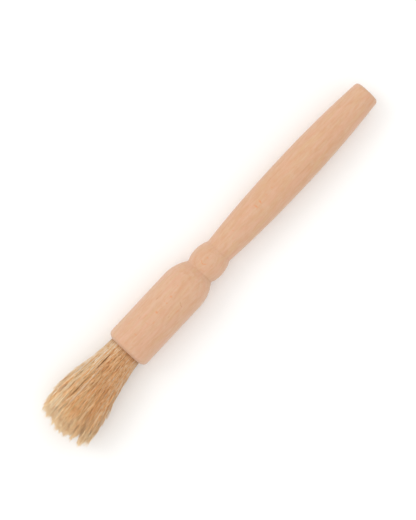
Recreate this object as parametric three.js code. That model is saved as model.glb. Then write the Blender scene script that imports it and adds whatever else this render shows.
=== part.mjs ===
// Pastry brush: a one-piece turned handle with a bored socket, and a tuft of bristle set into the socket.
// Millimetres. The brush lies on its side with its axis along X, from the butt to the bristle tips.
// The origin is at the middle of the box that holds the brush, at its lowest level.

import * as THREE from 'three';

// Handle: places along the axis are distances from the butt, and every size there is a radius.
const HANDLE_LENGTH = 161;
const BUTT_RADIUS = 6.5;
const BUTT_ROUNDING = 2;
const GRIP_RADIUS = 8.6;
const GRIP_AT = 48;
const NECK_RADIUS = 6.6;
const NECK_AT = 99.2;
const BEAD_RADIUS = 8.35;
const BEAD_AT = 106.2;
const GROOVE_RADIUS = 7.3;
const GROOVE_AT = 111.8;
const GROOVE_WIDTH = 0.8;
const BARREL_RADIUS = 11;
const BARREL_AT = 123.6;
const RIM_ROUNDING = 2.4;
const RIM_FACE = 0.6;
const RIM_WIDTH = 1.3;

// Socket: the blind bore in the barrel's end.
const BORE_RADIUS = 8.4;
const BORE_DEPTH = 24;
const BORE_POINT = 2.4;
const MOUTH_CHAMFER = 0.4;

// What the socket holds. Neighbours stand this far apart.
const GAP = 0.3;
const KNOT_RADIUS = 7.2;
const ROOT_DEPTH = 20.5;
const RESIN_LEVEL = 20.8;
const RESIN_COLLAR_LEVEL = 16.5;
const BINDING_TURNS = 6;
const BINDING_CORD = 0.62;
const BINDING_DEPTH = 15.8;

// Tuft: its free length, and its half sizes at the tips across the brush and up and down.
const FREE_LENGTH = 47.4;
const CROWN = 5.2;
const SPLAY_LENGTH = 44;
const MOUTH_FIT = BORE_RADIUS - GAP;
const TIP_HALF_WIDTH = 14.7;
const TIP_HALF_HEIGHT = 11.4;
const SIDE_LEAN = 3.3;
const RISE = 0.85;
const LOCK_RINGS = [1, 6, 12, 18];
const RING_NAMES = ['core', 'inner', 'middle', 'outer'];
const LOCK_GAP = GAP / KNOT_RADIUS;
const LOCK_BEVEL = 0.075;
const TIP_TAPER = 7;
const TIP_SHARE = 0.42;

// The handle's flats are wide enough to keep it from rolling on a level table.
const HANDLE_SIDES = 28;
const SOCKET_SIDES = 32;

const beech = new THREE.MeshStandardMaterial({ color: 0xdfb493, roughness: 0.62, metalness: 0 });
const bristle = new THREE.MeshStandardMaterial({ color: 0xcda277, roughness: 0.55, metalness: 0 });
const resin = new THREE.MeshStandardMaterial({ color: 0x8a5f30, roughness: 0.3, metalness: 0 });
const cord = new THREE.MeshStandardMaterial({ color: 0xcbbd9d, roughness: 0.9, metalness: 0 });

// A profile point: how far from the axis, and how far from the butt.
function at(radius, along) {
  return new THREE.Vector2(radius, along);
}

// Points on a smooth curve between two places that leaves and arrives along the given slopes
// (radius gained per millimetre), without its first point.
function swell(from, slopeFrom, to, slopeTo, pieces) {
  const third = (to.y - from.y) / 3;
  const curve = new THREE.CubicBezierCurve(
    from,
    at(from.x + slopeFrom * third, from.y + third),
    at(to.x - slopeTo * third, to.y - third),
    to,
  );
  return curve.getPoints(pieces).slice(1);
}

// Points on a quarter of an ellipse from one place to another, without its first point. It starts
// along the radius if startsOut is true, and along the axis if not.
function corner(from, to, startsOut, pieces) {
  const points = [];
  for (let i = 1; i <= pieces; i += 1) {
    const turn = (i / pieces) * (Math.PI / 2);
    const early = Math.sin(turn);
    const late = 1 - Math.cos(turn);
    const outShare = startsOut ? early : late;
    const alongShare = startsOut ? late : early;
    points.push(at(
      THREE.MathUtils.lerp(from.x, to.x, outShare),
      THREE.MathUtils.lerp(from.y, to.y, alongShare),
    ));
  }
  return points;
}

// Points on a round bulge, from a place on one side of its peak to the peak itself, which has the
// radius `top` and lies at `topAt` along the axis. The first point is left out.
function bulge(from, top, topAt, pieces) {
  const reach = topAt - from.y;
  const height = top - from.x;
  const radius = (reach * reach + height * height) / (2 * height);
  const whole = Math.asin(reach / radius);
  const points = [];
  for (let i = 1; i <= pieces; i += 1) {
    const turn = whole * (1 - i / pieces);
    points.push(at(top - radius * (1 - Math.cos(turn)), topAt - radius * Math.sin(turn)));
  }
  return points;
}

// A body turned about the X axis from a profile of (radius, along) points. One of its sides faces
// straight down, so that the handle lies on a side and not on an edge.
function turned(name, profile, sides, material) {
  const geometry = new THREE.LatheGeometry(profile, sides, Math.PI / sides);
  const mesh = new THREE.Mesh(geometry, material);
  mesh.name = name;
  mesh.rotation.z = -Math.PI / 2;
  return mesh;
}

// The handle's outside from the butt to the mouth, then back down the bore to its drilled point.
function handleProfile() {
  const buttEdge = at(BUTT_RADIUS - BUTT_ROUNDING, 0);
  const gripStart = at(BUTT_RADIUS, BUTT_ROUNDING);
  const gripTop = at(GRIP_RADIUS, GRIP_AT);
  const neck = at(NECK_RADIUS, NECK_AT);
  const beadTop = at(BEAD_RADIUS, BEAD_AT);
  const grooveStart = at(GROOVE_RADIUS, GROOVE_AT - GROOVE_WIDTH / 2);
  const grooveEnd = at(GROOVE_RADIUS, GROOVE_AT + GROOVE_WIDTH / 2);
  const rimStart = at(BARREL_RADIUS, HANDLE_LENGTH - RIM_FACE - RIM_ROUNDING);
  const rimEnd = at(BARREL_RADIUS - RIM_WIDTH, HANDLE_LENGTH - RIM_FACE);
  const mouthEdge = at(BORE_RADIUS + MOUTH_CHAMFER, HANDLE_LENGTH);
  const boreTop = at(BORE_RADIUS, HANDLE_LENGTH - MOUTH_CHAMFER);
  const boreEnd = at(BORE_RADIUS, HANDLE_LENGTH - BORE_DEPTH);
  return [
    at(0, 0),
    buttEdge,
    ...corner(buttEdge, gripStart, true, 5),
    ...swell(gripStart, 0.09, gripTop, 0, 9),
    ...swell(gripTop, 0, neck, -0.095, 10),
    ...bulge(neck, beadTop.x, beadTop.y, 6),
    ...bulge(mirrored(grooveStart, BEAD_AT), beadTop.x, beadTop.y, 5)
      .reverse()
      .slice(1)
      .map((p) => mirrored(p, BEAD_AT)),
    grooveStart,
    grooveEnd,
    ...bulge(grooveEnd, BARREL_RADIUS, BARREL_AT, 7),
    rimStart,
    ...corner(rimStart, rimEnd, false, 5),
    mouthEdge,
    boreTop,
    boreEnd,
    at(0, HANDLE_LENGTH - BORE_DEPTH - BORE_POINT),
  ];
}

// A profile point reflected in the plane across the axis at `plane`.
function mirrored(point, plane) {
  return at(point.x, 2 * plane - point.y);
}

// The cured resin: a floor under the roots, pointed like the bore, with a collar up round the knot.
function resinProfile() {
  const outer = BORE_RADIUS - GAP;
  const inner = KNOT_RADIUS + GAP;
  const floor = HANDLE_LENGTH - BORE_DEPTH + GAP;
  return [
    at(0, floor - BORE_POINT),
    at(outer, floor),
    at(outer, HANDLE_LENGTH - RESIN_COLLAR_LEVEL),
    at(inner, HANDLE_LENGTH - RESIN_COLLAR_LEVEL),
    at(inner, HANDLE_LENGTH - RESIN_LEVEL),
    at(0, HANDLE_LENGTH - RESIN_LEVEL),
  ];
}

// The binding: turns of cord side by side round the knot, as one ring with a ribbed outside.
function bindingProfile() {
  const inner = KNOT_RADIUS + GAP;
  const start = HANDLE_LENGTH - BINDING_DEPTH;
  const turn = BINDING_CORD;
  const body = inner + turn * 0.45;
  const profile = [at(inner, start), at(body, start)];
  for (let i = 0; i < BINDING_TURNS; i += 1) {
    const middle = start + (i + 0.5) * turn;
    for (const angle of [-50, 0, 50]) {
      const lean = THREE.MathUtils.degToRad(angle);
      profile.push(at(body + (turn / 2) * Math.cos(lean) * 0.95, middle + (turn / 2) * Math.sin(lean)));
    }
    profile.push(at(body, start + (i + 1) * turn));
  }
  profile.push(at(inner, start + BINDING_TURNS * turn));
  profile.push(at(inner, start));
  return profile;
}

// Where the tuft's point (p, q) lies at a distance beyond the mouth (negative inside the socket).
// p and q run from -1 to 1 across the tuft, sideways and upwards.
function tuftPoint(beyond, p, q) {
  const spread = THREE.MathUtils.smoothstep(beyond, -BINDING_DEPTH * 0.7, -3);
  const fit = THREE.MathUtils.lerp(KNOT_RADIUS, MOUTH_FIT, spread);
  const share = THREE.MathUtils.clamp(beyond / SPLAY_LENGTH, 0, 1);
  const splay = Math.sin((Math.PI / 2) * share ** 1.35);
  const halfWidth = fit + (TIP_HALF_WIDTH - MOUTH_FIT) * splay;
  const halfHeight = fit + (TIP_HALF_HEIGHT - MOUTH_FIT) * splay;
  const lean = Math.max(beyond, 0) / SPLAY_LENGTH;
  return new THREE.Vector3(
    HANDLE_LENGTH + beyond,
    halfWidth * p + SIDE_LEAN * lean ** 1.6,
    halfHeight * q + RISE * splay,
  );
}

// The eight corners of a lock's section, as (p, q) places in the tuft's unit circle.
function lockSection(ring, index, edges) {
  const count = LOCK_RINGS[ring];
  const half = LOCK_GAP / 2;
  const outer = edges[ring + 1] - (ring === LOCK_RINGS.length - 1 ? 0 : half);
  if (ring === 0) {
    return Array.from({ length: 8 }, (_, i) => polar(outer, (i * Math.PI) / 4));
  }
  const inner = edges[ring] + half;
  const middle = ((index + (ring % 2) / 2) / count) * 2 * Math.PI;
  const wide = Math.PI / count;
  const corners = [
    [inner, -0.55],
    [inner + LOCK_BEVEL * 0.6, -1],
    [outer - LOCK_BEVEL, -1],
    [outer, -0.45],
    [outer, 0.45],
    [outer - LOCK_BEVEL, 1],
    [inner + LOCK_BEVEL * 0.6, 1],
    [inner, 0.55],
  ];
  return corners.map(([r, share]) => polar(r, middle + share * (wide - half / r)));
}

function polar(radius, angle) {
  return new THREE.Vector2(radius * Math.cos(angle), radius * Math.sin(angle));
}

// Small steady unevenness between -1 and 1, different for each lock.
function uneven(index) {
  return Math.sin(index * 2.4) * 0.6 + Math.sin(index * 5.1 + 1) * 0.4;
}

// A lock: its section swept along the tuft from root to tip, drawn in to a blunt point at the tip.
function lock(name, section, freeLength) {
  const centre = section
    .reduce((sum, corner) => sum.add(corner), new THREE.Vector2())
    .divideScalar(section.length);
  const stops = [-ROOT_DEPTH, -BINDING_DEPTH * 0.7, -3, 6, 14, 22, 30]
    .map((beyond) => ({ beyond, share: 1 }));
  stops.push({ beyond: freeLength - TIP_TAPER, share: 0.94 });
  stops.push({ beyond: freeLength - TIP_TAPER * 0.35, share: 0.74 });
  stops.push({ beyond: freeLength, share: TIP_SHARE });

  const points = [];
  for (const stop of stops) {
    for (const corner of section) {
      const place = centre.clone().lerp(corner, stop.share);
      points.push(tuftPoint(stop.beyond, place.x, place.y));
    }
  }
  const sides = section.length;
  const faces = [];
  for (let i = 0; i + 1 < stops.length; i += 1) {
    for (let j = 0; j < sides; j += 1) {
      const a = i * sides + j;
      const b = i * sides + ((j + 1) % sides);
      faces.push(a, b, b + sides, a, b + sides, a + sides);
    }
  }
  const last = (stops.length - 1) * sides;
  for (let j = 1; j + 1 < sides; j += 1) {
    faces.push(0, j + 1, j);
    faces.push(last, last + j, last + j + 1);
  }
  const geometry = new THREE.BufferGeometry().setFromPoints(points);
  geometry.setIndex(faces);
  geometry.computeVertexNormals();
  const mesh = new THREE.Mesh(geometry, bristle);
  mesh.name = name;
  return mesh;
}

// All the locks, ring by ring. Each ring takes the share of the circle that its number of locks needs.
function tuft() {
  const group = new THREE.Group();
  const total = LOCK_RINGS.reduce((sum, count) => sum + count, 0);
  const edges = [0];
  let made = 0;
  for (const count of LOCK_RINGS) {
    made += count;
    edges.push(Math.sqrt(made / total));
  }
  let number = 0;
  LOCK_RINGS.forEach((count, ring) => {
    const middle = (edges[ring] + edges[ring + 1]) / 2;
    for (let index = 0; index < count; index += 1) {
      number += 1;
      const freeLength = FREE_LENGTH - CROWN * middle * middle + uneven(number);
      const name = `bristle_lock_${RING_NAMES[ring]}_${String(index + 1).padStart(2, '0')}`;
      group.add(lock(name, lockSection(ring, index, edges), freeLength));
    }
  });
  return group;
}

const brush = new THREE.Group();
brush.add(turned('handle', handleProfile(), HANDLE_SIDES, beech));
brush.add(turned('setting_resin', resinProfile(), SOCKET_SIDES, resin));
brush.add(turned('root_binding', bindingProfile(), SOCKET_SIDES, cord));
brush.add(tuft());

// Lay the brush on the plane z = 0 with the origin in the middle beneath it.
const box = new THREE.Box3().setFromObject(brush, true);
const middle = box.getCenter(new THREE.Vector3());
brush.position.set(-middle.x, -middle.y, -box.min.z);

const part = new THREE.Group();
part.add(brush);

export default part;
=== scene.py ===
"""Looks of the pastry brush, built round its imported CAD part. Places are in metres in the part's frame,
and the sizes of the turned profile, the hairs and the textures are in millimetres."""

import math

import bpy
import numpy as np
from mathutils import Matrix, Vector


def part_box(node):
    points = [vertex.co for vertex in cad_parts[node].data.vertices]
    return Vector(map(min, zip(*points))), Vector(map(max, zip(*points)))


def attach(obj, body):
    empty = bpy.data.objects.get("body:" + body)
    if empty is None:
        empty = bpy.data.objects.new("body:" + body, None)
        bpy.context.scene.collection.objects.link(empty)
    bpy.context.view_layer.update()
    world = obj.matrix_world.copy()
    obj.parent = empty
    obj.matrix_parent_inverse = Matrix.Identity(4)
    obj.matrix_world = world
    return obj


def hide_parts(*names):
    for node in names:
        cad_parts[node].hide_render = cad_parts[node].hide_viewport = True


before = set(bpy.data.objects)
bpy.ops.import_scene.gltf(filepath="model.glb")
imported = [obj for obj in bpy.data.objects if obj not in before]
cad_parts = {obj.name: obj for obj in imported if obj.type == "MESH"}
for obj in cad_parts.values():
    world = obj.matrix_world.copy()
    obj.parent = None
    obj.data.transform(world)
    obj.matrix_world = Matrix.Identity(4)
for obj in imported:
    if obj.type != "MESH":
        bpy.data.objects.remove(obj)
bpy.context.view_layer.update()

MM = 0.001

# The frame: the handle's axis, its two ends and its barrel, all from the CAD handle's box.
HANDLE_LOW, HANDLE_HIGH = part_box("handle")
AXIS_Y = (HANDLE_LOW.y + HANDLE_HIGH.y) / 2
AXIS_Z = (HANDLE_LOW.z + HANDLE_HIGH.z) / 2
BUTT_X = HANDLE_LOW.x
HANDLE_LENGTH = (HANDLE_HIGH.x - HANDLE_LOW.x) / MM

# The view: straight down on the lying brush, turned so that the tuft is at the lower left. The picture's
# middle lies at a place along the handle and aside from its axis, in millimetres.
CAMERA_HEIGHT = 1.5
SENSOR_WIDTH = 36.0
VIEW_LONG_SIDE = 0.2359
VIEW_ALONG = 105.5
VIEW_ASIDE = -0.80
VIEW_TURN = math.radians(133.05)

# The light: sizes in metres, powers in watts.
WORLD_COLOUR, WORLD_STRENGTH = (1.0, 0.995, 0.985, 1.0), 1.02
KEY_SIZE, KEY_POWER, KEY_COLOUR = 0.9, 4.1, (1.0, 0.99, 0.975)
KEY_LEFT, KEY_UP, KEY_HEIGHT = 0.95, 0.45, 1.15
OVERHEAD_PLACE, OVERHEAD_SIZE, OVERHEAD_POWER = Vector((0.1, -0.1, 1.9)), 1.2, 2.4

# The floor lies a little below the part, so that the two never share a plane.
FLOOR_HALF, FLOOR_DROP = 6.0, 0.0002

# The turned profile, as in the CAD part: places along the axis from the butt, and radii.
BUTT_RADIUS, BUTT_ROUNDING, BUTT_DOME, BUTT_POINTS = 6.5, 2.0, 0.2, 16
GRIP_RADIUS, GRIP_AT = 8.6, 48.0
NECK_RADIUS, NECK_AT = 6.6, 99.2
BEAD_RADIUS, BEAD_AT = 8.35, 106.2
GROOVE_RADIUS, GROOVE_AT, GROOVE_WIDTH = 7.3, 111.8, 0.8
BARREL_RADIUS, BARREL_AT = 11.0, 123.6
RIM_ROUNDING, RIM_FACE, RIM_WIDTH = 2.4, 0.6, 1.3
BORE_RADIUS, BORE_DEPTH, BORE_POINT, MOUTH_CHAMFER = 8.4, 24.0, 2.4, 0.4

# The tuft's flow. It fills the CAD part's locks and frays a little past their outline.
GAP = 0.3
KNOT_RADIUS = 7.2
MOUTH_FIT = BORE_RADIUS + 0.35
ROOT_DEPTH = 20.2
RESIN_LEVEL, RESIN_COLLAR_LEVEL = 20.8, 16.5
BINDING_TURNS, BINDING_CORD, BINDING_DEPTH = 6, 0.62, 15.8
FREE_LENGTH = 47.4
CROWN = 5.2
SPLAY_LENGTH = 44.0
TIP_HALF_WIDTH, TIP_HALF_HEIGHT = 14.8, 11.4
SIDE_LEAN, RISE = 2.9, 0.85
LOCK_RINGS = (1, 6, 12, 18)
RING_NAMES = ("core", "inner", "middle", "outer")

# A parting along the tuft's top, and a notch and a tail in its tips. Places and widths are shares of the
# tuft's half width, and depths and lengths are in millimetres.
PARTING_AT, PARTING_WIDTH, PARTING_REACH = -0.445, 0.035, 0.07
# Painted shade: hairs along the parting are darkened by this share of their tone, over this reach of the half
# width.
PARTING_SHADE, PARTING_SHADE_REACH = 0.20, 0.04
NOTCH_AT, NOTCH_WIDTH, NOTCH_DEPTH = 0.55, 0.08, 4.5
TAIL_AT, TAIL_WIDTH, TAIL_LENGTH = 0.68, 0.06, 1.8

# Hairs lie in strands that curl together, in loose clumps and, at their tips, in small tuftlets. Clumps and
# tuftlets draw their hairs towards their middles by a share of the way. A flag is one thin end of a split tip.
HAIRS, CLUMPS, TUFTLETS, STRANDS, FLAGS = 7500, 64, 640, 1400, 2200
HAIR_RADIUS, FLAG_RADIUS, HAIR_SIDES = 0.138, 0.055, 3
CLUMP_DRAW, TUFTLET_DRAW = 0.07, 0.28
LOWEST = -BARREL_RADIUS + 0.22

# Curls: waves along the free length, size in millimetres, and whether a strand's hairs share them.
CURLS = ((0.35, 0.26, True), (1.5, 0.2, True), (3.0, 0.12, True), (1.1, 0.26, False), (3.6, 0.19, False))

RNG = np.random.default_rng(41)


# ---------------------------------------------------------------- camera, lights and stage


def make_camera():
    data = bpy.data.cameras.new("camera")
    data.sensor_width = SENSOR_WIDTH
    data.lens = data.sensor_width * (CAMERA_HEIGHT - AXIS_Z) / VIEW_LONG_SIDE
    data.clip_start, data.clip_end = 0.05, 20.0
    camera = bpy.data.objects.new("camera", data)
    camera.location = (BUTT_X + VIEW_ALONG * MM, AXIS_Y + VIEW_ASIDE * MM, CAMERA_HEIGHT)
    camera.rotation_euler = (0.0, 0.0, VIEW_TURN)
    bpy.context.scene.collection.objects.link(camera)
    bpy.context.scene.camera = camera


def area_light(name, place, size, power, colour):
    data = bpy.data.lights.new(name, "AREA")
    data.shape, data.size = "DISK", size
    data.energy, data.color = power, colour
    light = bpy.data.objects.new(name, data)
    light.location = place
    light.rotation_euler = (-Vector(place)).to_track_quat("-Z", "Y").to_euler()
    bpy.context.scene.collection.objects.link(light)


def make_lights():
    """A white room, a wide soft key from the picture's upper left, and a weak one from above."""
    world = bpy.data.worlds.new("studio")
    bpy.context.scene.world = world
    world.use_nodes = True
    background = world.node_tree.nodes["Background"]
    background.inputs["Color"].default_value = WORLD_COLOUR
    background.inputs["Strength"].default_value = WORLD_STRENGTH
    left = Vector((-math.cos(VIEW_TURN), -math.sin(VIEW_TURN), 0.0))
    up = Vector((-math.sin(VIEW_TURN), math.cos(VIEW_TURN), 0.0))
    key = left * KEY_LEFT + up * KEY_UP + Vector((0.0, 0.0, KEY_HEIGHT))
    area_light("key", key, KEY_SIZE, KEY_POWER, KEY_COLOUR)
    area_light("overhead", OVERHEAD_PLACE, OVERHEAD_SIZE, OVERHEAD_POWER, (1.0, 1.0, 1.0))


def make_floor():
    half = FLOOR_HALF
    mesh = bpy.data.meshes.new("floor")
    mesh.from_pydata(
        [(-half, -half, 0), (half, -half, 0), (half, half, 0), (-half, half, 0)], [], [(0, 1, 2, 3)]
    )
    floor = bpy.data.objects.new("floor", mesh)
    bpy.context.scene.collection.objects.link(floor)
    floor.location.z = -FLOOR_DROP
    tree, shader = new_material("pale_floor")
    position = node(tree, "ShaderNodeTexCoord").outputs["Object"]
    speckle = noise(tree, position, 9.0, 3)
    link(tree, ramp(tree, speckle, [(0.3, (0.945, 0.945, 0.94)), (0.7, (0.965, 0.965, 0.96))]),
         shader.inputs["Base Color"])
    shader.inputs["Roughness"].default_value = 0.75
    mesh.materials.append(bpy.data.materials["pale_floor"])


# ---------------------------------------------------------------- material nodes


def new_material(name):
    material = bpy.data.materials.new(name)
    material.use_nodes = True
    return material.node_tree, material.node_tree.nodes["Principled BSDF"]


def link(tree, output, socket):
    tree.links.new(output, socket)


def feed(tree, socket, value):
    """Links value to socket if it is an output, and sets it if it is a number or a colour."""
    if isinstance(value, bpy.types.NodeSocket):
        link(tree, value, socket)
    else:
        socket.default_value = value


def node(tree, kind, *values, **settings):
    """A new node with its settings, its first inputs fed with values (None leaves one as it is)."""
    made = tree.nodes.new(kind)
    for key, value in settings.items():
        setattr(made, key, value)
    for socket, value in zip(made.inputs, values):
        if value is not None:
            feed(tree, socket, value)
    return made


def maths(tree, operation, a, b=None, c=None):
    return node(tree, "ShaderNodeMath", a, b, c, operation=operation).outputs[0]


def scaled(tree, vector, scale, offset=(0.0, 0.0, 0.0)):
    """vector times scale, plus offset, component by component."""
    made = node(tree, "ShaderNodeVectorMath", vector, scale, offset, operation="MULTIPLY_ADD")
    return made.outputs[0]


def risen(tree, value, low, high, most=1.0):
    """value's rise from low to high, as a share from 0 to most."""
    return node(tree, "ShaderNodeMapRange", value, low, high, 0.0, most).outputs[0]


def noise(tree, vector, scale, detail=2.0, roughness=0.5):
    made = node(tree, "ShaderNodeTexNoise")
    feed(tree, made.inputs["Vector"], vector)
    for name, value in (("Scale", scale), ("Detail", detail), ("Roughness", roughness)):
        made.inputs[name].default_value = value
    return made.outputs["Fac"]


def ramp(tree, value, stops):
    """A colour ramp. A stop's colour is linear red, green and blue, or one number for grey."""
    made = node(tree, "ShaderNodeValToRGB", value)
    elements = made.color_ramp.elements
    while len(elements) < len(stops):
        elements.new(0.5)
    for element, (place, colour) in zip(elements, stops):
        element.position = place
        rgb = colour if isinstance(colour, tuple) else (colour,) * 3
        element.color = (*rgb, 1.0)
    return made.outputs["Color"]


def blend_colour(tree, share, a, b, how="MIX"):
    made = node(tree, "ShaderNodeMix", data_type="RGBA", blend_type=how)
    feed(tree, made.inputs["Factor"], share)
    feed(tree, made.inputs["A"], a if isinstance(a, bpy.types.NodeSocket) else (*a, 1.0))
    feed(tree, made.inputs["B"], b if isinstance(b, bpy.types.NodeSocket) else (*b, 1.0))
    return made.outputs["Result"]


def attribute(tree, name):
    return node(tree, "ShaderNodeAttribute", attribute_name=name).outputs["Fac"]


def bump(tree, height, strength, depth):
    made = node(tree, "ShaderNodeBump")
    made.inputs["Strength"].default_value = strength
    made.inputs["Distance"].default_value = depth
    feed(tree, made.inputs["Height"], height)
    return made.outputs["Normal"]


# ---------------------------------------------------------------- the wood

# The heart of the tree lies this far from the handle's axis, so that the year rings cross the grip
# almost flat and draw their broad figure along its top.
PITH_ASIDE, PITH_BELOW = 8.7, 62.0
RING_PITCH = 1.05

# Small marks in the wood: place from the butt, place round the axis in degrees (0 is up and
# positive turns towards +Y), half length, half width, slant in degrees, strength.
FLECKS = (
    (44.8, 34.0, 2.4, 0.3, 0.0, 0.5),
    (62.0, -14.0, 1.0, 0.6, 0.0, 0.4),
    (66.0, -13.0, 0.35, 1.0, 0.0, 0.4),
    (70.2, -11.0, 0.7, 1.5, 8.0, 1.0),
    (73.0, -10.0, 0.7, 1.7, -6.0, 0.85),
    (88.0, -12.0, 0.5, 0.6, 0.0, 0.5),
    (92.5, 18.0, 0.4, 0.5, 0.0, 0.45),
    (104.9, -11.0, 0.5, 0.8, 0.0, 0.75),
    (107.8, -18.0, 0.42, 1.0, 38.0, 0.8),
    (108.4, -10.5, 0.42, 1.3, 0.0, 0.9),
    (107.8, -3.0, 0.42, 1.0, -38.0, 0.8),
    (110.6, 4.0, 0.4, 1.0, -20.0, 0.4),
    (106.4, 18.0, 0.4, 0.7, 0.0, 0.35),
    (123.2, -15.5, 0.7, 0.4, -15.0, 0.5),
    (123.2, -5.5, 0.5, 0.7, 25.0, 0.45),
    (126.3, -8.5, 0.35, 0.6, 0.0, 0.4),
    (128.9, -8.5, 0.8, 0.9, 0.0, 0.8),
    (132.4, -12.5, 0.7, 0.4, -15.0, 0.5),
    (132.4, -5.5, 0.6, 0.7, -30.0, 0.7),
    (135.1, -9.0, 0.4, 0.6, 0.0, 0.4),
    (137.0, -7.0, 0.6, 0.4, -30.0, 0.4),
    (138.5, -8.5, 1.0, 1.0, 0.0, 0.85),
    (142.9, -22.5, 1.0, 0.45, 10.0, 0.4),
    (142.9, 3.0, 1.0, 0.5, 0.0, 0.45),
    (145.2, -9.0, 0.35, 1.7, 0.0, 0.4),
    (152.3, -8.5, 0.6, 0.95, 0.0, 0.5),
    (150.7, -41.0, 1.3, 0.4, 4.0, 0.4),
    (156.8, 2.0, 0.5, 0.5, 0.0, 0.4),
    (131.9, 26.5, 1.8, 0.7, 0.0, 0.5),
    (34.0, 172.0, 0.5, 0.9, 0.0, 0.5),
    (58.0, 100.0, 0.9, 0.4, 0.0, 0.5),
    (120.0, 98.0, 0.5, 0.8, 0.0, 0.45),
    (141.0, 171.0, 0.6, 0.8, 0.0, 0.6),
    (136.0, 262.0, 0.8, 0.5, 0.0, 0.5),
)
DARK_MARKS = (
    (44.5, 20.5, 14.0, 0.42, 0.0, 0.2),
    (128.2, 17.5, 0.3, 1.0, 35.0, 0.6),
    (128.9, 24.5, 0.3, 1.2, 14.0, 0.55),
    (133.9, -31.5, 1.5, 0.28, 3.0, 0.7),
    (145.6, -30.0, 1.5, 0.26, -9.0, 0.45),
    (136.4, 20.0, 1.0, 0.3, 0.0, 0.45),
    (139.6, 29.5, 1.6, 0.25, -14.0, 0.3),
    (153.4, 16.5, 1.2, 0.3, 0.0, 0.3),
    (66.0, 150.0, 1.6, 0.25, 6.0, 0.6),
    (140.0, 205.0, 1.3, 0.24, 20.0, 0.6),
    (101.8, 130.0, 0.9, 0.25, 30.0, 0.5),
)


def mark_mask(tree, place, marks):
    """How strongly the marks colour the wood at a place in millimetres from the butt's centre. The
    outside leaves out the butt's face and the bore, so that it runs one way along the axis."""
    outside = PROFILE[BUTT_POINTS:int(np.argmax(PROFILE[:, 0]))]
    total = None
    for along, turn, half_long, half_wide, slant, strength in marks:
        angle = math.radians(turn)
        radius = float(np.interp(along, *outside.T))
        centre = (along, radius * math.sin(angle), radius * math.cos(angle))
        turned = node(tree, "ShaderNodeVectorRotate", place, centre, rotation_type="X_AXIS")
        turned.inputs["Angle"].default_value = angle
        slanted = node(tree, "ShaderNodeVectorRotate", turned.outputs[0], centre, rotation_type="Z_AXIS")
        slanted.inputs["Angle"].default_value = math.radians(slant)
        offset = node(tree, "ShaderNodeVectorMath", slanted.outputs[0], centre, operation="SUBTRACT")
        shape = (1 / half_long, 1 / half_wide, 1 / max(half_long, half_wide))
        distance = node(tree, "ShaderNodeVectorMath", scaled(tree, offset.outputs[0], shape),
                        operation="LENGTH").outputs["Value"]
        mask = node(tree, "ShaderNodeMapRange", distance, 1.0, 0.0, 0.0, strength,
                    interpolation_type="SMOOTHSTEP").outputs[0]
        total = mask if total is None else maths(tree, "ADD", total, mask)
    return total


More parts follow.
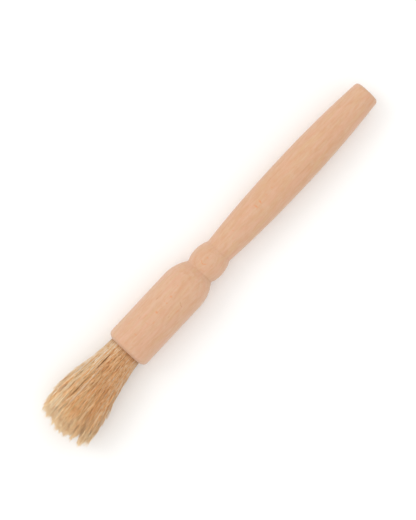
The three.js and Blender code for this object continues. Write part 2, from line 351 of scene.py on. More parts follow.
def beech_material():
    """Bare turned beech: year rings, fibres, ray flecks, end grain, polished edges and turning marks,
    all drawn in three dimensions so that they run through the wood."""
    tree, shader = new_material("turned_beech")
    metres = node(tree, "ShaderNodeTexCoord").outputs["Object"]
    shift = (-BUTT_X / MM, -AXIS_Y / MM, -AXIS_Z / MM)
    place = scaled(tree, metres, (1 / MM,) * 3, shift)
    end_grain = attribute(tree, "end_grain")
    edge = attribute(tree, "edge")

    # Year rings round the pith, bent a little along the trunk.
    wander = noise(tree, scaled(tree, place, (0.011, 0.05, 0.05)), 1.0, 2.0)
    ripple = noise(tree, scaled(tree, place, (0.11, 0.3, 0.3)), 1.0, 2.0)
    bent = maths(tree, "MULTIPLY_ADD", wander, 7.0, maths(tree, "MULTIPLY", ripple, 1.1))
    across = scaled(tree, place, (0.0, 1.0, 1.0), (0.0, -PITH_ASIDE, PITH_BELOW))
    from_pith = node(tree, "ShaderNodeVectorMath", across, operation="LENGTH").outputs["Value"]
    years = maths(tree, "DIVIDE", maths(tree, "ADD", from_pith, bent), RING_PITCH)
    season = maths(tree, "FRACT", years)
    late_wood = ramp(tree, season, [(0.0, 0.55), (0.1, 0.0), (0.55, 0.1), (0.86, 0.7), (0.97, 1.0)])

    # Fibres run along the handle, finer and coarser.
    fine = noise(tree, scaled(tree, place, (0.07, 5.2, 5.2)), 1.0, 3.0, 0.6)
    coarse = noise(tree, scaled(tree, place, (0.045, 0.9, 0.9)), 1.0, 3.0, 0.55)
    dashes = noise(tree, scaled(tree, place, (0.26, 0.95, 0.95), (4.0, 1.0, 7.0)), 1.0, 2.0, 0.6)
    tint = noise(tree, scaled(tree, place, (0.09, 0.45, 0.45), (2.0, 8.0, 3.0)), 1.0, 2.0)
    broad = noise(tree, scaled(tree, place, (0.012, 0.16, 0.16), (3.0, 7.0, 1.0)), 1.0, 2.0)
    blotch = noise(tree, scaled(tree, place, (0.16, 0.42, 0.42), (9.0, 2.0, 5.0)), 1.0, 3.0, 0.6)

    # Ray flecks: thin lens-shaped cells, tall along the rays and short along the trunk.
    cells = node(tree, "ShaderNodeTexVoronoi", feature="F1")
    link(tree, scaled(tree, place, (0.42, 1.9, 0.3)), cells.inputs["Vector"])
    cells.inputs["Scale"].default_value = 1.0
    near = node(tree, "ShaderNodeMapRange", cells.outputs["Distance"], 0.2, 0.05, 0.0, 1.0)
    chosen = node(tree, "ShaderNodeSeparateColor", cells.outputs["Color"])
    flecks = maths(tree, "MULTIPLY", near.outputs[0], maths(tree, "POWER", chosen.outputs[0], 2.2))

    tone = blend_colour(tree, risen(tree, broad, 0.35, 0.65), (0.612, 0.358, 0.220),
                        (0.628, 0.388, 0.250))
    tone = blend_colour(tree, risen(tree, blotch, 0.42, 0.70, 0.35), tone, (0.560, 0.308, 0.176))
    along, aside = node(tree, "ShaderNodeSeparateXYZ", place).outputs[:2]
    held = maths(tree, "MULTIPLY", risen(tree, along, 10.0, 36.0, 0.32),
                 risen(tree, along, 92.0, 58.0))
    tone = blend_colour(tree, held, tone, (0.575, 0.325, 0.165))
    tone = blend_colour(tree, maths(tree, "MULTIPLY", late_wood, 0.30), tone, (0.545, 0.276, 0.142))
    tone = blend_colour(tree, risen(tree, coarse, 0.46, 0.74, 0.4), tone, (0.562, 0.306, 0.174))
    tone = blend_colour(tree, risen(tree, coarse, 0.5, 0.28, 0.35), tone, (0.650, 0.412, 0.270))
    tone = blend_colour(tree, risen(tree, dashes, 0.5, 0.72, 0.5), tone, (0.585, 0.290, 0.150))
    tone = blend_colour(tree, risen(tree, dashes, 0.5, 0.28, 0.5), tone, (0.625, 0.415, 0.285))
    tone = blend_colour(tree, risen(tree, tint, 0.48, 0.68, 0.45), tone, (0.650, 0.360, 0.245))
    tone = blend_colour(tree, risen(tree, tint, 0.46, 0.3, 0.45), tone, (0.605, 0.385, 0.210))
    tone = blend_colour(tree, risen(tree, fine, 0.55, 0.8, 0.35), tone, (0.500, 0.258, 0.138))
    tone = blend_colour(tree, maths(tree, "MULTIPLY", flecks, 0.40), tone, (0.450, 0.192, 0.082))
    tone = blend_colour(tree, mark_mask(tree, place, FLECKS), tone, (0.640, 0.250, 0.105))
    tone = blend_colour(tree, mark_mask(tree, place, DARK_MARKS), tone, (0.430, 0.170, 0.070))
    tone = blend_colour(tree, maths(tree, "MULTIPLY", end_grain, 0.36), tone, (0.480, 0.262, 0.150))
    tone = blend_colour(tree, risen(tree, edge, 0.0, 1.0, 0.3), tone, (0.690, 0.480, 0.335))
    # Painted shade: the grooves and coves are darkened, more on the +Y side, away from the key light.
    shaded_side = node(tree, "ShaderNodeMapRange", aside, -3.0, 3.0, 0.35, 1.3).outputs[0]
    groove_shade = maths(tree, "MULTIPLY", risen(tree, edge, 0.0, -1.0, 0.25), shaded_side)
    tone = blend_colour(tree, groove_shade, tone, (0.400, 0.195, 0.105))
    link(tree, tone, shader.inputs["Base Color"])

    gloss = node(tree, "ShaderNodeMapRange", fine, 0.3, 0.7, 0.50, 0.60).outputs[0]
    gloss = maths(tree, "MULTIPLY_ADD", flecks, -0.1, gloss)
    gloss = maths(tree, "MULTIPLY_ADD", end_grain, 0.12, gloss)
    link(tree, gloss, shader.inputs["Roughness"])
    shader.inputs["Specular IOR Level"].default_value = 0.42
    shader.inputs["Sheen Weight"].default_value = 0.22
    shader.inputs["Sheen Roughness"].default_value = 0.45
    shader.inputs["Sheen Tint"].default_value = (0.75, 0.92, 1.0, 1.0)

    turning = noise(tree, scaled(tree, place, (6.5, 0.25, 0.25)), 1.0, 3.0, 0.7)
    height = maths(tree, "MULTIPLY_ADD", fine, 0.6, maths(tree, "MULTIPLY", coarse, 0.5))
    height = maths(tree, "MULTIPLY_ADD", turning, 0.28, height)
    height = maths(tree, "MULTIPLY_ADD", flecks, -0.25, height)
    link(tree, bump(tree, height, 0.55, 0.06 * MM), shader.inputs["Normal"])
    return bpy.data.materials["turned_beech"]


# ---------------------------------------------------------------- the other materials


def bristle_material():
    """Natural bristle: each hair has its own tone, paler towards its split tip, with fine lengthwise
    streaks and a soft shine."""
    tree, shader = new_material("natural_bristle")
    metres = node(tree, "ShaderNodeTexCoord").outputs["Object"]
    place = scaled(tree, metres, (1 / MM,) * 3)
    tone = attribute(tree, "tone")
    warmth = attribute(tree, "warmth")
    along = attribute(tree, "along")
    streak = noise(tree, scaled(tree, place, (0.42, 2.4, 2.4)), 1.0, 3.0, 0.6)
    streaky = node(tree, "ShaderNodeMapRange", along, 0.1, 0.9, 2.0, 0.9).outputs[0]
    mixed = maths(tree, "MULTIPLY_ADD", maths(tree, "SUBTRACT", streak, 0.5), streaky, tone)
    yellow = ramp(tree, mixed, [
        (0.00, (0.370, 0.178, 0.066)),
        (0.18, (0.570, 0.310, 0.121)),
        (0.40, (0.745, 0.478, 0.233)),
        (0.62, (0.835, 0.595, 0.343)),
        (0.84, (0.885, 0.712, 0.498)),
        (1.00, (0.910, 0.815, 0.690)),
    ])
    orange = ramp(tree, mixed, [
        (0.00, (0.410, 0.150, 0.050)),
        (0.18, (0.625, 0.258, 0.083)),
        (0.40, (0.820, 0.400, 0.155)),
        (0.62, (0.885, 0.512, 0.236)),
        (0.84, (0.895, 0.635, 0.358)),
        (1.00, (0.910, 0.755, 0.560)),
    ])
    colour = blend_colour(tree, warmth, yellow, orange)
    root = node(tree, "ShaderNodeMapRange", along, 0.8, 0.0, 0.0, 1.0,
                interpolation_type="SMOOTHSTEP").outputs[0]
    colour = blend_colour(tree, root, colour, (0.83, 0.79, 0.79), "MULTIPLY")
    # Painted shadow: the hairs' first two millimetres out of the mouth are darkened where the rim shades them.
    mouth_shadow = node(tree, "ShaderNodeMapRange", along, 0.04, 0.0, 0.0, 0.7).outputs[0]
    colour = blend_colour(tree, mouth_shadow, colour, (0.70, 0.58, 0.50), "MULTIPLY")
    pale = node(tree, "ShaderNodeMapRange", along, 0.66, 1.0, 0.0, 0.95,
                interpolation_type="SMOOTHSTEP").outputs[0]
    colour = blend_colour(tree, pale, colour, (0.91, 0.455, 0.22), "SCREEN")
    split = maths(tree, "MULTIPLY", attribute(tree, "tip"), 0.45)
    colour = blend_colour(tree, split, colour, (0.965, 0.740, 0.510))
    link(tree, colour, shader.inputs["Base Color"])
    rough = node(tree, "ShaderNodeMapRange", streak, 0.3, 0.7, 0.36, 0.52).outputs[0]
    link(tree, rough, shader.inputs["Roughness"])
    shader.inputs["Specular IOR Level"].default_value = 0.32
    shader.inputs["Sheen Weight"].default_value = 0.2
    shader.inputs["Sheen Roughness"].default_value = 0.4
    shader.inputs["Sheen Tint"].default_value = (1.0, 0.78, 0.5, 1.0)
    scales = noise(tree, scaled(tree, place, (5.0, 9.0, 9.0)), 1.0, 2.0)
    link(tree, bump(tree, scales, 0.3, 0.02 * MM), shader.inputs["Normal"])
    return bpy.data.materials["natural_bristle"]


def resin_material():
    """Cured amber resin with cloudy patches, small bubbles and a rippled skin."""
    tree, shader = new_material("cured_resin")
    metres = node(tree, "ShaderNodeTexCoord").outputs["Object"]
    cloud = noise(tree, metres, 260.0, 4.0, 0.6)
    colour = ramp(tree, cloud, [(0.3, (0.16, 0.065, 0.016)), (0.55, (0.27, 0.125, 0.035)),
                                (0.75, (0.38, 0.20, 0.07))])
    bubbles = node(tree, "ShaderNodeTexVoronoi", feature="F1")
    link(tree, metres, bubbles.inputs["Vector"])
    bubbles.inputs["Scale"].default_value = 900.0
    pit = risen(tree, bubbles.outputs["Distance"], 0.28, 0.1)
    link(tree, blend_colour(tree, maths(tree, "MULTIPLY", pit, 0.5), colour, (0.62, 0.42, 0.2)),
         shader.inputs["Base Color"])
    link(tree, risen(tree, cloud, 0.2, 0.8, 0.45), shader.inputs["Roughness"])
    link(tree, bump(tree, maths(tree, "SUBTRACT", cloud, pit), 0.5, 0.1 * MM), shader.inputs["Normal"])
    shader.inputs["Coat Weight"].default_value = 0.3
    return bpy.data.materials["cured_resin"]


def cord_material():
    """Undyed twisted cord: fibres that follow the twist, and painted shade that darkens it between the plies.
    """
    tree, shader = new_material("twisted_cord")
    metres = node(tree, "ShaderNodeTexCoord").outputs["Object"]
    ply = attribute(tree, "ply")
    fibres = noise(tree, scaled(tree, metres, (2600.0, 900.0, 900.0)), 1.0, 4.0, 0.65)
    # Painted shade: the colour darkens towards the creases between the plies.
    colour = ramp(tree, ply, [(0.0, (0.24, 0.17, 0.10)), (0.45, (0.52, 0.42, 0.28)),
                              (1.0, (0.66, 0.57, 0.42))])
    colour = blend_colour(tree, risen(tree, fibres, 0.45, 0.75, 0.6), colour, (0.36, 0.28, 0.18))
    link(tree, colour, shader.inputs["Base Color"])
    link(tree, node(tree, "ShaderNodeMapRange", fibres, 0.2, 0.8, 0.8, 0.95).outputs[0],
         shader.inputs["Roughness"])
    link(tree, bump(tree, fibres, 0.6, 0.05 * MM), shader.inputs["Normal"])
    shader.inputs["Sheen Weight"].default_value = 0.3
    return bpy.data.materials["twisted_cord"]


# ---------------------------------------------------------------- mesh building


def piece(name, points, faces, material, **values):
    """A smooth-shaded mesh object from points in the part's frame, with values stored at its points."""
    mesh = bpy.data.meshes.new(name)
    mesh.from_pydata(np.asarray(points).tolist(), [], faces)
    mesh.polygons.foreach_set("use_smooth", [True] * len(mesh.polygons))
    for key, value in values.items():
        mesh.attributes.new(key, "FLOAT", "POINT").data.foreach_set("value", np.asarray(value, np.float32))
    mesh.materials.append(material)
    made = bpy.data.objects.new(name, mesh)
    bpy.context.scene.collection.objects.link(made)
    return made


def from_butt(along, y, z):
    """Points in the part's frame, from millimetres along the axis from the butt and away from it."""
    return np.stack(np.broadcast_arrays(BUTT_X + np.asarray(along) * MM, AXIS_Y + np.asarray(y) * MM,
                                        AXIS_Z + np.asarray(z) * MM), axis=-1)


def swell(start, slope_start, end, slope_end, pieces):
    """Points on a smooth curve between two (along, radius) places, with the radius's slopes there."""
    third = (end[0] - start[0]) / 3
    handles = [start, (start[0] + third, start[1] + slope_start * third),
               (end[0] - third, end[1] - slope_end * third), end]
    t = np.linspace(0, 1, pieces + 1)[1:, None]
    weights = ((1 - t) ** 3, 3 * t * (1 - t) ** 2, 3 * t * t * (1 - t), t ** 3)
    return sum(w * np.array(h) for w, h in zip(weights, handles))


def bulge(start, top, pieces):
    """Points on the round arc from an (along, radius) place to the peak of the bulge at top."""
    reach, height = top[0] - start[0], top[1] - start[1]
    radius = (reach * reach + height * height) / (2 * height)
    turn = math.asin(reach / radius) * (1 - np.arange(1, pieces + 1) / pieces)
    return np.stack([top[0] - radius * np.sin(turn), top[1] - radius * (1 - np.cos(turn))], axis=1)


def corner(start, end, pieces, along_first):
    """Points on a quarter of an ellipse between two (along, radius) places."""
    turn = np.arange(1, pieces + 1) / pieces * math.pi / 2
    early, late = np.sin(turn), 1 - np.cos(turn)
    along, out = (early, late) if along_first else (late, early)
    return np.stack([start[0] + (end[0] - start[0]) * along, start[1] + (end[1] - start[1]) * out], axis=1)


def handle_profile():
    """(along, radius) points from the butt's centre over the outside and down the bore to its point."""
    butt_edge = (BUTT_DOME, BUTT_RADIUS - BUTT_ROUNDING)
    grip_start = (BUTT_ROUNDING, BUTT_RADIUS)
    grip_top, neck = (GRIP_AT, GRIP_RADIUS), (NECK_AT, NECK_RADIUS)
    groove_start = (GROOVE_AT - GROOVE_WIDTH / 2, GROOVE_RADIUS)
    groove_end = (GROOVE_AT + GROOVE_WIDTH / 2, GROOVE_RADIUS)
    rim_start = (HANDLE_LENGTH - RIM_FACE - RIM_ROUNDING, BARREL_RADIUS)
    rim_end = (HANDLE_LENGTH - RIM_FACE, BARREL_RADIUS - RIM_WIDTH)
    radii = np.linspace(0, butt_edge[1], BUTT_POINTS)
    butt = np.stack([BUTT_DOME * (radii / butt_edge[1]) ** 2, radii], axis=1)
    centre_mark = 0.35 * np.clip(1 - radii / 0.9, 0, 1)
    butt[:, 0] += centre_mark
    bead_end = bulge((2 * BEAD_AT - groove_start[0], groove_start[1]), (BEAD_AT, BEAD_RADIUS), 26)
    bead_end = bead_end[::-1][1:]
    bead_end[:, 0] = 2 * BEAD_AT - bead_end[:, 0]
    cove = 0.10 * np.sin(np.linspace(0, math.pi, 7))
    groove = np.stack([np.linspace(groove_start[0], groove_end[0], 7), GROOVE_RADIUS - cove], axis=1)
    mouth = [(HANDLE_LENGTH, BORE_RADIUS + MOUTH_CHAMFER), (HANDLE_LENGTH - MOUTH_CHAMFER, BORE_RADIUS)]
    rim_face = bulge_between(rim_end, mouth[0], 0.06, 6)
    return np.concatenate([
        butt,
        corner(butt_edge, grip_start, 12, along_first=False),
        swell(grip_start, 0.09, grip_top, 0, 70),
        swell(grip_top, 0, neck, -0.095, 76),
        bulge(neck, (BEAD_AT, BEAD_RADIUS), 30),
        bead_end,
        groove,
        bulge(groove_end, (BARREL_AT, BARREL_RADIUS), 36),
        np.stack([np.linspace(BARREL_AT, rim_start[0], 48)[1:], np.full(47, BARREL_RADIUS)], axis=1),
        corner(rim_start, rim_end, 14, along_first=True),
        rim_face,
        corner(mouth[0], mouth[1], 5, along_first=False),
        np.stack([np.linspace(mouth[1][0], HANDLE_LENGTH - BORE_DEPTH, 16)[1:],
                  np.full(15, BORE_RADIUS)], axis=1),
        [(HANDLE_LENGTH - BORE_DEPTH - BORE_POINT * 0.5, BORE_RADIUS * 0.5),
         (HANDLE_LENGTH - BORE_DEPTH - BORE_POINT, 0.0)],
    ])


def bulge_between(start, end, height, pieces):
    """Points on a shallow crowned line between two (along, radius) places, without the first."""
    t = np.linspace(0, 1, pieces + 1)[1:, None]
    line = np.array(start) * (1 - t) + np.array(end) * t
    line[:, 0] += height * np.sin(math.pi * t[:, 0])
    return line


PROFILE = handle_profile()


def eased(profile):
    """The profile with its sharp corners worn slightly round, its ends kept."""
    out = profile.copy()
    out[1:-1] += 0.25 * (profile[:-2] - 2 * profile[1:-1] + profile[2:])
    return out


def turned(name, profile, segments, material):
    """A body turned round the handle's axis from (along, radius) points that start and end on it, with
    how far each point faces along the axis and how sharp its edge is."""
    count = len(profile)
    step = np.gradient(profile, axis=0)
    length = np.maximum(np.linalg.norm(step, axis=1), 1e-9)
    facing = np.abs(step[:, 1]) / length
    heading = np.unwrap(np.arctan2(step[:, 1], step[:, 0]))
    bend = -np.gradient(heading) / np.maximum(length, 0.05)
    inside = np.arange(count) > int(np.argmax(profile[:, 0])) + 5
    edge = np.clip(np.where(inside, 0.0, bend) * 0.55, -1, 1)
    angles = np.arange(segments) * 2 * math.pi / segments
    ring = profile[1:-1]
    y = ring[:, 1:2] * np.sin(angles)
    z = ring[:, 1:2] * np.cos(angles)
    along = np.broadcast_to(ring[:, 0:1], y.shape)
    points = [from_butt(profile[0, 0], 0.0, 0.0)[None], from_butt(along, y, z).reshape(-1, 3),
              from_butt(profile[-1, 0], 0.0, 0.0)[None]]
    rows = count - 2
    last = 1 + rows * segments
    faces = []
    for j in range(segments):
        k = (j + 1) % segments
        faces.append((0, 1 + j, 1 + k))
        faces.append((last, last - segments + k, last - segments + j))
        for i in range(rows - 1):
            a, b = 1 + i * segments, 1 + (i + 1) * segments
            faces.append((a + j, b + j, b + k, a + k))
    copies = np.array([1] + [segments] * rows + [1])
    end_grain = np.clip((facing - 0.35) / 0.65, 0, 1)
    return piece(name, np.concatenate(points), faces, material,
                 end_grain=np.repeat(end_grain, copies), edge=np.repeat(edge, copies))


# ---------------------------------------------------------------- the tuft


def smooth_rise(value, low, high):
    t = np.clip((value - low) / (high - low), 0, 1)
    return t * t * (3 - 2 * t)


def tuft_place(beyond, p, q):
    """Where the tuft's (p, q), in its unit circle, lies off the axis at a distance beyond the mouth."""
    spread = smooth_rise(beyond, -BINDING_DEPTH * 0.7, -3)
    fit = KNOT_RADIUS + (MOUTH_FIT - KNOT_RADIUS) * spread
    share = np.clip(beyond / SPLAY_LENGTH, 0, 1)
    splay = 0.4 * np.sin(math.pi / 2 * share ** 1.35) + 0.6 * share ** 1.2
    lean = np.maximum(beyond, 0) / SPLAY_LENGTH
    y = (fit + (TIP_HALF_WIDTH - MOUTH_FIT) * splay) * p + SIDE_LEAN * lean ** 1.6
    z = (fit + (TIP_HALF_HEIGHT - MOUTH_FIT) * splay) * q + RISE * splay
    return y, z


def disc(count, jitter, crowding=0.5):
    """Points spread over the unit circle like seeds in a sunflower, each moved a little. A crowding of
    0.5 is even, and a lower one puts more of them near the rim."""
    i = np.arange(count)
    radius = ((i + 0.5) / count) ** crowding
    angle = i * math.pi * (3 - math.sqrt(5))
    points = np.stack([radius * np.cos(angle), radius * np.sin(angle)], axis=1)
    points += RNG.normal(0, jitter / math.sqrt(count), points.shape)
    reach = np.maximum(np.linalg.norm(points, axis=1, keepdims=True), 1e-9)
    return points * np.minimum(1, 0.93 / reach)


def nearest(points, centres):
    return np.argmin(((points[:, None] - centres[None]) ** 2).sum(-1), axis=1)


def lock_of(points):
    """The lock that each place in the tuft's unit circle belongs to, as (ring, index) pairs."""
    total = sum(LOCK_RINGS)
    edges = np.sqrt(np.cumsum(LOCK_RINGS) / total)
    radius = np.linalg.norm(points, axis=1)
    ring = np.clip(np.searchsorted(edges, radius), 0, len(LOCK_RINGS) - 1)
    angle = np.arctan2(points[:, 1], points[:, 0])
    count = np.array(LOCK_RINGS)[ring]
    index = np.round(angle / (2 * math.pi) * count - (ring % 2) / 2).astype(int) % count
    return ring, index


def hair_tubes(paths, radii):
    """Vertices and faces of one closed tapering tube along each path: (hairs, stations, 3) points."""
    sides = HAIR_SIDES
    hairs, stations, _ = paths.shape
    angles = (np.arange(sides) + 0.5) * 2 * math.pi / sides
    off = np.zeros((hairs, stations, sides, 3))
    off[..., 1] = radii[..., None] * np.cos(angles)
    off[..., 2] = radii[..., None] * np.sin(angles)
    points = (paths[:, :, None] + off).reshape(-1, 3)
    i, j = np.meshgrid(np.arange(stations - 1), np.arange(sides), indexing="ij")
    a = i * sides + j
    b = i * sides + (j + 1) % sides
    strip = np.stack([a, b, b + sides, a + sides], axis=-1).reshape(-1, 4)
    size = stations * sides
    quads = (strip[None] + np.arange(hairs)[:, None, None] * size).reshape(-1, 4).tolist()
    first, last = np.arange(sides)[::-1], np.arange(sides) + (stations - 1) * sides
    caps = np.stack([first, last])[None] + np.arange(hairs)[:, None, None] * size
    return points, quads + caps.reshape(-1, sides).tolist()


def hair_paths(places, clump, strand_of, tuftlet, frayed, lengths):
    """Each hair's path from its root in the socket to its tip. Hairs draw together into loose clumps on
    the way out and into small pointed tuftlets at the tips. The strands that they run in drift and curl
    past one another, and each hair curls a little on its own."""
    count = len(places)
    shares = np.array([0.0, 0.1, 0.2, 0.3, 0.4, 0.5, 0.6, 0.7, 0.8, 0.88, 0.94, 1.0])
    inside = np.array([-ROOT_DEPTH, -9.0])
    beyond = np.concatenate([np.broadcast_to(inside, (count, 2)), shares * lengths[:, None]], axis=1)
    out = np.clip(beyond, 0, None) / lengths[:, None]
    to_clump = CLUMP_DRAW * smooth_rise(beyond, 0.5, 16)
    to_tuftlet = TUFTLET_DRAW * smooth_rise(out, 0.7, 1.0)
    p = places[:, 0:1] + (clump[:, 0:1] - places[:, 0:1]) * to_clump
    q = places[:, 1:2] + (clump[:, 1:2] - places[:, 1:2]) * to_clump
    on_top = smooth_rise(q, 0.2, 0.6) * smooth_rise(beyond, 2, 9) * (1 - smooth_rise(beyond, 30, 38))
    from_parting = p - PARTING_AT
    pushed = PARTING_WIDTH * np.sign(from_parting) * np.exp(-(from_parting / PARTING_REACH) ** 2)
    p = p + on_top * pushed
    p = p + (tuftlet[:, 0:1] - p) * to_tuftlet
    q = q + (tuftlet[:, 1:2] - q) * to_tuftlet
    y, z = tuft_place(beyond, p, q)
    free = np.clip(beyond, 0, None) / FREE_LENGTH
    loose = smooth_rise(beyond, 0, 26)
    for waves, size, of_strand in CURLS:
        for offset in (y, z):
            shape = (STRANDS, 1) if of_strand else (count, 1)
            phase = RNG.uniform(0, 2 * math.pi, shape)
            turns = waves * RNG.uniform(0.7, 1.3, shape)
            amount = size * RNG.normal(0, 1, shape)
            if of_strand:
                phase, turns, amount = phase[strand_of], turns[strand_of], amount[strand_of]
            offset += amount * loose * np.sin(turns * 2 * math.pi * free + phase)
    stray = RNG.random((count, 1)) < 0.04
    for offset in (y, z):
        offset += stray * RNG.normal(0, 0.7, (count, 1)) * free ** 1.5
    reach = np.linalg.norm(places, axis=1, keepdims=True)
    loosened = (RNG.random((count, 1)) < 0.06) * (reach > 0.85)
    flyaway = loosened * RNG.uniform(0.3, 1.0, (count, 1)) * free ** 4
    flyaway += 1.7 * frayed[:, None] * out ** 5
    y += flyaway * places[:, 0:1]
    z += flyaway * places[:, 1:2]
    return beyond, y, np.maximum(z, LOWEST)


def tip_length(p, q):
    """How far the tuft reaches beyond the mouth at a place in its unit circle: less at the rim, and
    on its +Y side less where it has a notch and more in a tail beside that."""
    notch = NOTCH_DEPTH * np.exp(-((p - NOTCH_AT) / NOTCH_WIDTH) ** 2)
    tail = TAIL_LENGTH * np.exp(-((p - TAIL_AT) / TAIL_WIDTH) ** 2)
    corner = 2.2 * smooth_rise(-p, 0.74, 0.92)
    return FREE_LENGTH - 0.5 - CROWN * 0.85 * ((p + 0.18) ** 2 + 0.7 * q * q) - notch + tail - corner


def hair_lengths(places, tuftlets, in_clump, in_strand, in_tuftlet):
    """Each hair's free length, and how far each tuftlet has frayed from the tuft's side, from 0 to 1.
    Columns across the tuft, tuftlets, clumps and strands each end at their own length."""
    tuftlet = tuftlets[in_tuftlet]
    lengths = tip_length(*tuftlet.T)
    columns = np.linspace(-1, 1, 37)
    lengths += np.interp(tuftlet[:, 0], columns, RNG.normal(0, 0.95, len(columns)))
    lengths += np.clip(RNG.normal(0, 1.4, TUFTLETS), -2.8, 1.2)[in_tuftlet]
    lengths += RNG.normal(0, 0.3, CLUMPS)[in_clump]
    lengths += RNG.normal(0, 0.5, STRANDS)[in_strand]
    at_side = np.abs(tuftlets[:, 0]) > 0.76
    frayed = (at_side & (RNG.random(TUFTLETS) < 0.6)) * RNG.uniform(0.2, 1.0, TUFTLETS)
    lengths -= 12.0 * frayed[in_tuftlet]
    off_middle = np.linalg.norm(places - tuftlet, axis=1) * math.sqrt(TUFTLETS)
    lengths -= 1.5 * np.minimum(off_middle, 1.6) + np.abs(RNG.normal(0, 0.35, HAIRS))
    short = RNG.random(HAIRS) < 0.25
    lengths -= short * RNG.uniform(0.5, 8, HAIRS)
    return lengths, frayed


def hair_colours(places, in_clump, in_strand, in_tuftlet):
    """Each hair's tone, from dark to pale, and its warmth, from yellow to orange. The tuft is paler at
    its sides and warmer on its +Y side, and a few hairs are much darker or paler than the rest."""
    across = places[:, 0]
    tones = 0.50 + 0.28 * across ** 2 + RNG.normal(0, 0.03, CLUMPS)[in_clump] + RNG.normal(0, 0.10, HAIRS)
    tones += RNG.normal(0, 0.04, TUFTLETS)[in_tuftlet]
    tones += RNG.normal(0, 0.06, STRANDS)[in_strand]
    warmths = 0.55 + 0.42 * across + RNG.normal(0, 0.2, TUFTLETS)[in_tuftlet]
    warmths += RNG.normal(0, 0.4, STRANDS)[in_strand] + RNG.normal(0, 0.15, HAIRS)
    # Painted shade: the hairs along the parting on the tuft's top are darker, where its gap lies in shade.
    parting_shade = np.exp(-((across - PARTING_AT) / PARTING_SHADE_REACH) ** 2) * (places[:, 1] > 0.3)
    tones -= PARTING_SHADE * parting_shade
    dark, pale = RNG.random(HAIRS), RNG.random(HAIRS)
    tones -= (dark < 0.10) * RNG.uniform(0.1, 0.32, HAIRS)
    tones += (pale < 0.1) * RNG.uniform(0.12, 0.34, HAIRS)
    return tones, warmths


def split_tips(beyond, y, z, lengths):
    """Thin hairs that leave a parent hair near its end and part from it: each one's parent, its places
    beyond the mouth, its path and its radii."""
    parent = RNG.integers(0, HAIRS, FLAGS)
    start = RNG.uniform(0.84, 0.94, FLAGS)
    steps = np.array([0.0, 0.35, 0.7, 1.0])
    share = start[:, None] + (1.025 - start[:, None]) * steps
    flag_beyond = share * lengths[parent][:, None]
    flag_y, flag_z = np.empty(flag_beyond.shape), np.empty(flag_beyond.shape)
    for i, j in enumerate(parent):
        flag_y[i] = np.interp(flag_beyond[i], beyond[j], y[j])
        flag_z[i] = np.interp(flag_beyond[i], beyond[j], z[j])
    flag_y += RNG.normal(0, 0.24, (FLAGS, 1)) * steps ** 1.3
    flag_z += RNG.normal(0, 0.24, (FLAGS, 1)) * steps ** 1.3
    paths = from_butt(HANDLE_LENGTH + flag_beyond, flag_y, np.maximum(flag_z, LOWEST))
    radii = FLAG_RADIUS * MM * RNG.uniform(0.7, 1.2, (FLAGS, 1)) * (1 - 0.7 * steps)
    return parent, flag_beyond, paths, radii


def make_tuft(material):
    places = disc(HAIRS, 0.35, crowding=0.42)
    clumps = disc(CLUMPS, 0.3)
    tuftlets = disc(TUFTLETS, 0.5, crowding=0.47)
    strands = disc(STRANDS, 0.5, crowding=0.43)
    in_clump, in_strand = nearest(places, clumps), nearest(places, strands)
    in_tuftlet = nearest(places, tuftlets)
    groups = in_clump, in_strand, in_tuftlet
    lengths, frayed = hair_lengths(places, tuftlets, *groups)
    beyond, y, z = hair_paths(places, clumps[in_clump], in_strand, tuftlets[in_tuftlet],
                              frayed[in_tuftlet], lengths)
    paths = from_butt(HANDLE_LENGTH + beyond, y, z)
    thickness = HAIR_RADIUS * MM * RNG.uniform(0.8, 1.25, (HAIRS, 1))
    share = np.clip(beyond, 0, None) / lengths[:, None]
    radii = thickness * (1 + 0.2 * smooth_rise(share, 0.3, 0.75) - 0.7 * smooth_rise(share, 0.86, 1.0))
    tips = smooth_rise(share, 0.88, 1.0)
    tones, warmths = hair_colours(places, *groups)
    parent, flag_beyond, flag_paths, flag_radii = split_tips(beyond, y, z, lengths)
    of_hairs = {"tone": np.clip(tones, 0, 1)[:, None], "warmth": np.clip(warmths, 0, 1)[:, None],
                "along": np.clip(beyond, 0, None) / FREE_LENGTH, "tip": tips}
    of_flags = {"tone": np.clip(tones[parent] + 0.06, 0, 1)[:, None],
                "warmth": np.clip(warmths[parent], 0, 1)[:, None],
                "along": flag_beyond / FREE_LENGTH, "tip": np.ones(flag_beyond.shape)}

    ring, index = lock_of(places)
    for r, number in enumerate(LOCK_RINGS):
        for i in range(number):
            mine = (ring == r) & (index == i)
            flags = mine[parent]
            points, faces = hair_tubes(paths[mine], radii[mine])
            flag_points, flag_faces = hair_tubes(flag_paths[flags], flag_radii[flags])
            faces += [tuple(v + len(points) for v in f) for f in flag_faces]
            values = {}
            for key in of_hairs:
                at_hairs = np.broadcast_to(of_hairs[key], beyond.shape)[mine]
                at_flags = np.broadcast_to(of_flags[key], flag_beyond.shape)[flags]
                values[key] = np.repeat(np.concatenate([at_hairs.ravel(), at_flags.ravel()]), HAIR_SIDES)
            hairs = piece(f"bristles_{RING_NAMES[r]}_{i + 1:02d}", np.concatenate([points, flag_points]),
                          faces, material, **values)
            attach(hairs, "root")
            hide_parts(f"bristle_lock_{RING_NAMES[r]}_{i + 1:02d}")


# ---------------------------------------------------------------- what the socket holds


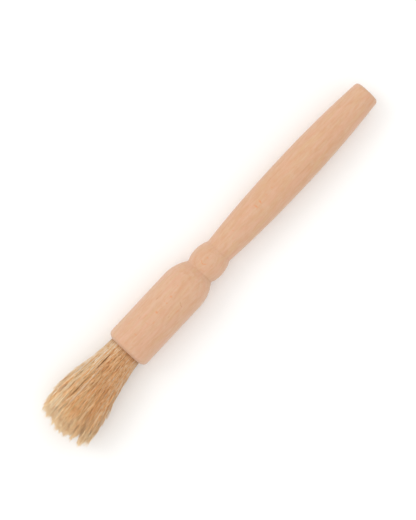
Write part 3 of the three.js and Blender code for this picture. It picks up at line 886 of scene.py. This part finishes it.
def make_resin(material):
    """The cured plug under the roots, with a collar that has crept up round the knot."""
    outer, inner = BORE_RADIUS - GAP, KNOT_RADIUS + GAP
    floor = HANDLE_LENGTH - BORE_DEPTH + GAP
    collar = HANDLE_LENGTH - RESIN_COLLAR_LEVEL
    level = HANDLE_LENGTH - RESIN_LEVEL
    wall = [(floor - BORE_POINT, 0.0), (floor - BORE_POINT * 0.5, outer * 0.5), (floor - 0.1, outer - 0.3),
            (floor + 0.3, outer), ((floor + collar) / 2, outer), (collar - 0.3, outer),
            (collar, (outer + inner) / 2), (collar - 0.35, inner), (level + 1.0, inner),
            (level + 0.25, inner - 0.35), (level, inner - 1.3), (level + 0.02, inner * 0.5), (level, 0.0)]
    plug = turned("setting_resin_plug", np.array(wall), 64, material)
    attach(plug, "root")
    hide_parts("setting_resin")


def make_binding(material):
    """Six turns of two-ply cord wound round the root of the knot."""
    turns, cord, sides, per_turn = BINDING_TURNS, BINDING_CORD, 12, 72
    steps = turns * per_turn + 1
    turn = np.linspace(0, turns * 2 * math.pi, steps)
    middle = KNOT_RADIUS + GAP + cord / 2
    start = HANDLE_LENGTH - BINDING_DEPTH + cord / 2
    along = start + (turns - 1) * cord * np.linspace(0, 1, steps)
    around = np.arange(sides) * 2 * math.pi / sides
    twist = turn[:, None] * middle / cord * 0.9
    two_ply = np.abs(np.cos(around[None] - twist))
    section = cord / 2 * 0.96 * (0.78 + 0.2 * two_ply)
    taper = np.minimum(1, np.minimum(np.arange(steps), np.arange(steps)[::-1]) / 6)[:, None]
    section = section * (0.25 + 0.75 * taper)
    radius = middle + section * np.cos(around)
    points = from_butt(along[:, None] + section * np.sin(around), radius * np.sin(turn[:, None]),
                       radius * np.cos(turn[:, None])).reshape(-1, 3)
    faces = []
    for i in range(steps - 1):
        for j in range(sides):
            a, b = i * sides + j, i * sides + (j + 1) % sides
            faces.append((a, a + sides, b + sides, b))
    faces.append(tuple(range(sides)))
    faces.append(tuple(range(steps * sides - 1, (steps - 1) * sides - 1, -1)))
    wound = piece("root_binding_turns", points, faces, material, ply=np.clip(two_ply, 0, 1).ravel())
    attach(wound, "root")
    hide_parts("root_binding")


# ---------------------------------------------------------------- the scene

make_camera()
make_lights()
make_floor()
bpy.context.scene.view_settings.view_transform = "Standard"

handle = turned("turned_handle", eased(PROFILE), 224, beech_material())
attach(handle, "root")
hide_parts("handle")

make_tuft(bristle_material())
make_resin(resin_material())
make_binding(cord_material())
